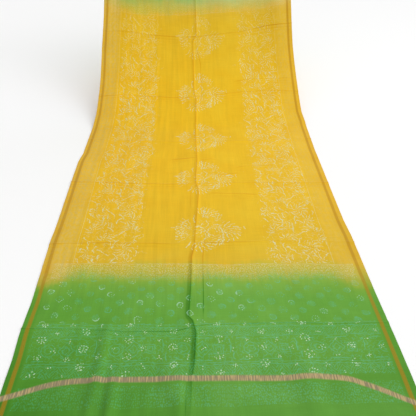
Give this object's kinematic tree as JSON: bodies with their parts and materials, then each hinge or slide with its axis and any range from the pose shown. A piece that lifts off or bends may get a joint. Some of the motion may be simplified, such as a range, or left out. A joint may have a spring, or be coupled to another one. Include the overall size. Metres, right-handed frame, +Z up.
{
  "type": "block printed dupatta",
  "caption": "Long fine scarf of printed silk and cotton cloth with woven metallic borders, lying flat and sweeping up to the end it hangs by.",
  "frame": {"origin": "on the ground, under the middle of the cloth's box", "axes": "+Z up, +Y along the cloth from the near hem towards the end it hangs by, +X across the cloth to the right as seen from the near hem"},
  "size_m": [0.916, 2.1238, 0.7986],
  "materials": {
    "printed_silk_cotton": "fine slubbed weave, dip dyed yellow with green ends, block printed, with woven zari edges"
  },
  "bodies": {
    "root": {"dupatta_cloth": "printed_silk_cotton"}
  },
  "joints": []
}
